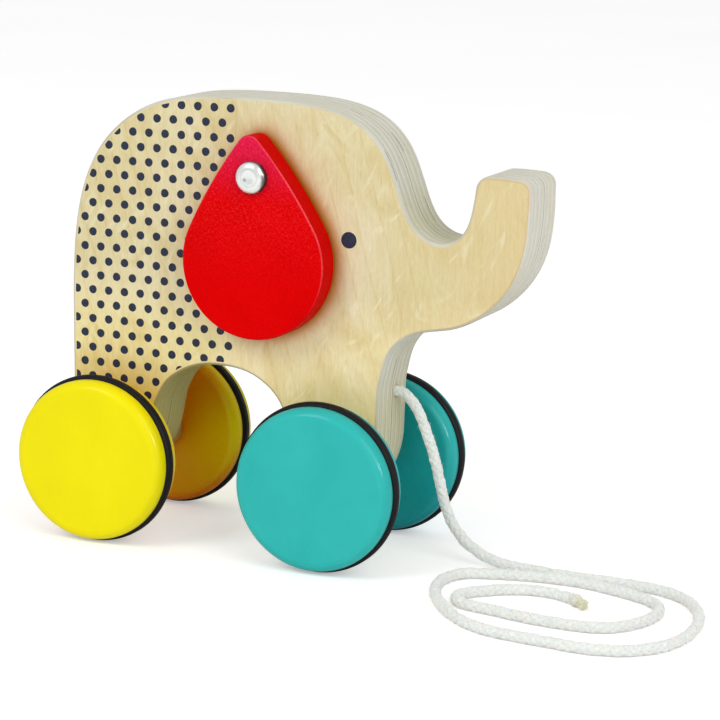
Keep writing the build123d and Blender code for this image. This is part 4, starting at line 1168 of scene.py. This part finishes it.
FLOOR_HALF = 4000
floor = make_object("floor", [(x * FLOOR_HALF, y * FLOOR_HALF, 0)
                              for x, y in ((-1, -1), (1, -1), (1, 1), (-1, 1))],
                    [(0, 1, 2, 3)], [floor_paper()])


def build_world(strength, camera_extra):
    """White light, brighter where the camera sees it directly, to run on from the floor."""
    world = bpy.data.worlds.new("studio")
    scene.world = world
    world.use_nodes = True
    tree = world.node_tree
    background = tree.nodes["Background"]
    background.inputs["Color"].default_value = (1.0, 1.0, 1.0, 1)
    seen = tree.nodes.new("ShaderNodeLightPath")
    lift = tree.nodes.new("ShaderNodeMath")
    lift.operation = "MULTIPLY_ADD"
    lift.inputs[1].default_value = camera_extra
    lift.inputs[2].default_value = strength
    tree.links.new(seen.outputs["Is Camera Ray"], lift.inputs[0])
    tree.links.new(lift.outputs[0], background.inputs["Strength"])


def disk_light(name, where, aim, size, power, colour=(1, 1, 1)):
    """An area light; places and size in metres."""
    data = bpy.data.lights.new(name, "AREA")
    data.shape, data.size, data.energy, data.color = "DISK", size, power, colour
    ob = bpy.data.objects.new(name, data)
    ob.location = where
    ob.rotation_euler = (Vector(aim) - Vector(where)).to_track_quat("-Z", "Y").to_euler()
    scene.collection.objects.link(ob)
    return ob


build_world(strength=0.62, camera_extra=0.40)
disk_light("key", where=(-0.55, -1.10, 1.05), aim=(0.0, 0.0, 0.06), size=0.7, power=6.2,
           colour=(1.0, 0.99, 0.97))
disk_light("fill", where=(0.95, -0.75, 0.75), aim=(0.02, 0.0, 0.05), size=0.9, power=5.6,
           colour=(0.98, 0.99, 1.0))
# a low panel ahead of the elephant, seen only in the shine of the lacquer and the rivet
kick = disk_light("kick", where=(1.15, -0.52, 0.42), aim=(0.0, -0.02, 0.04), size=0.30, power=4.2)
kick.visible_diffuse = False

camera_data = bpy.data.cameras.new("camera")
camera_data.sensor_width, camera_data.lens = 36.0, 138.45
camera_data.clip_start, camera_data.clip_end = 0.05, 50
camera = bpy.data.objects.new("camera", camera_data)
scene.collection.objects.link(camera)
# columns: the camera's right, up and backward directions, then its place in metres
camera.matrix_world = Matrix((
    (0.92188, -0.10584, 0.37273, 0.33256),
    (0.38627, 0.17534, -0.90557, -0.72038),
    (0.03049, 0.97880, 0.20254, 0.21767),
    (0, 0, 0, 1),
))
scene.camera = camera
scene.view_settings.view_transform = "Standard"
scene.view_settings.look = "None"
scene.view_settings.exposure = 0.0
scene.view_settings.gamma = 1.0
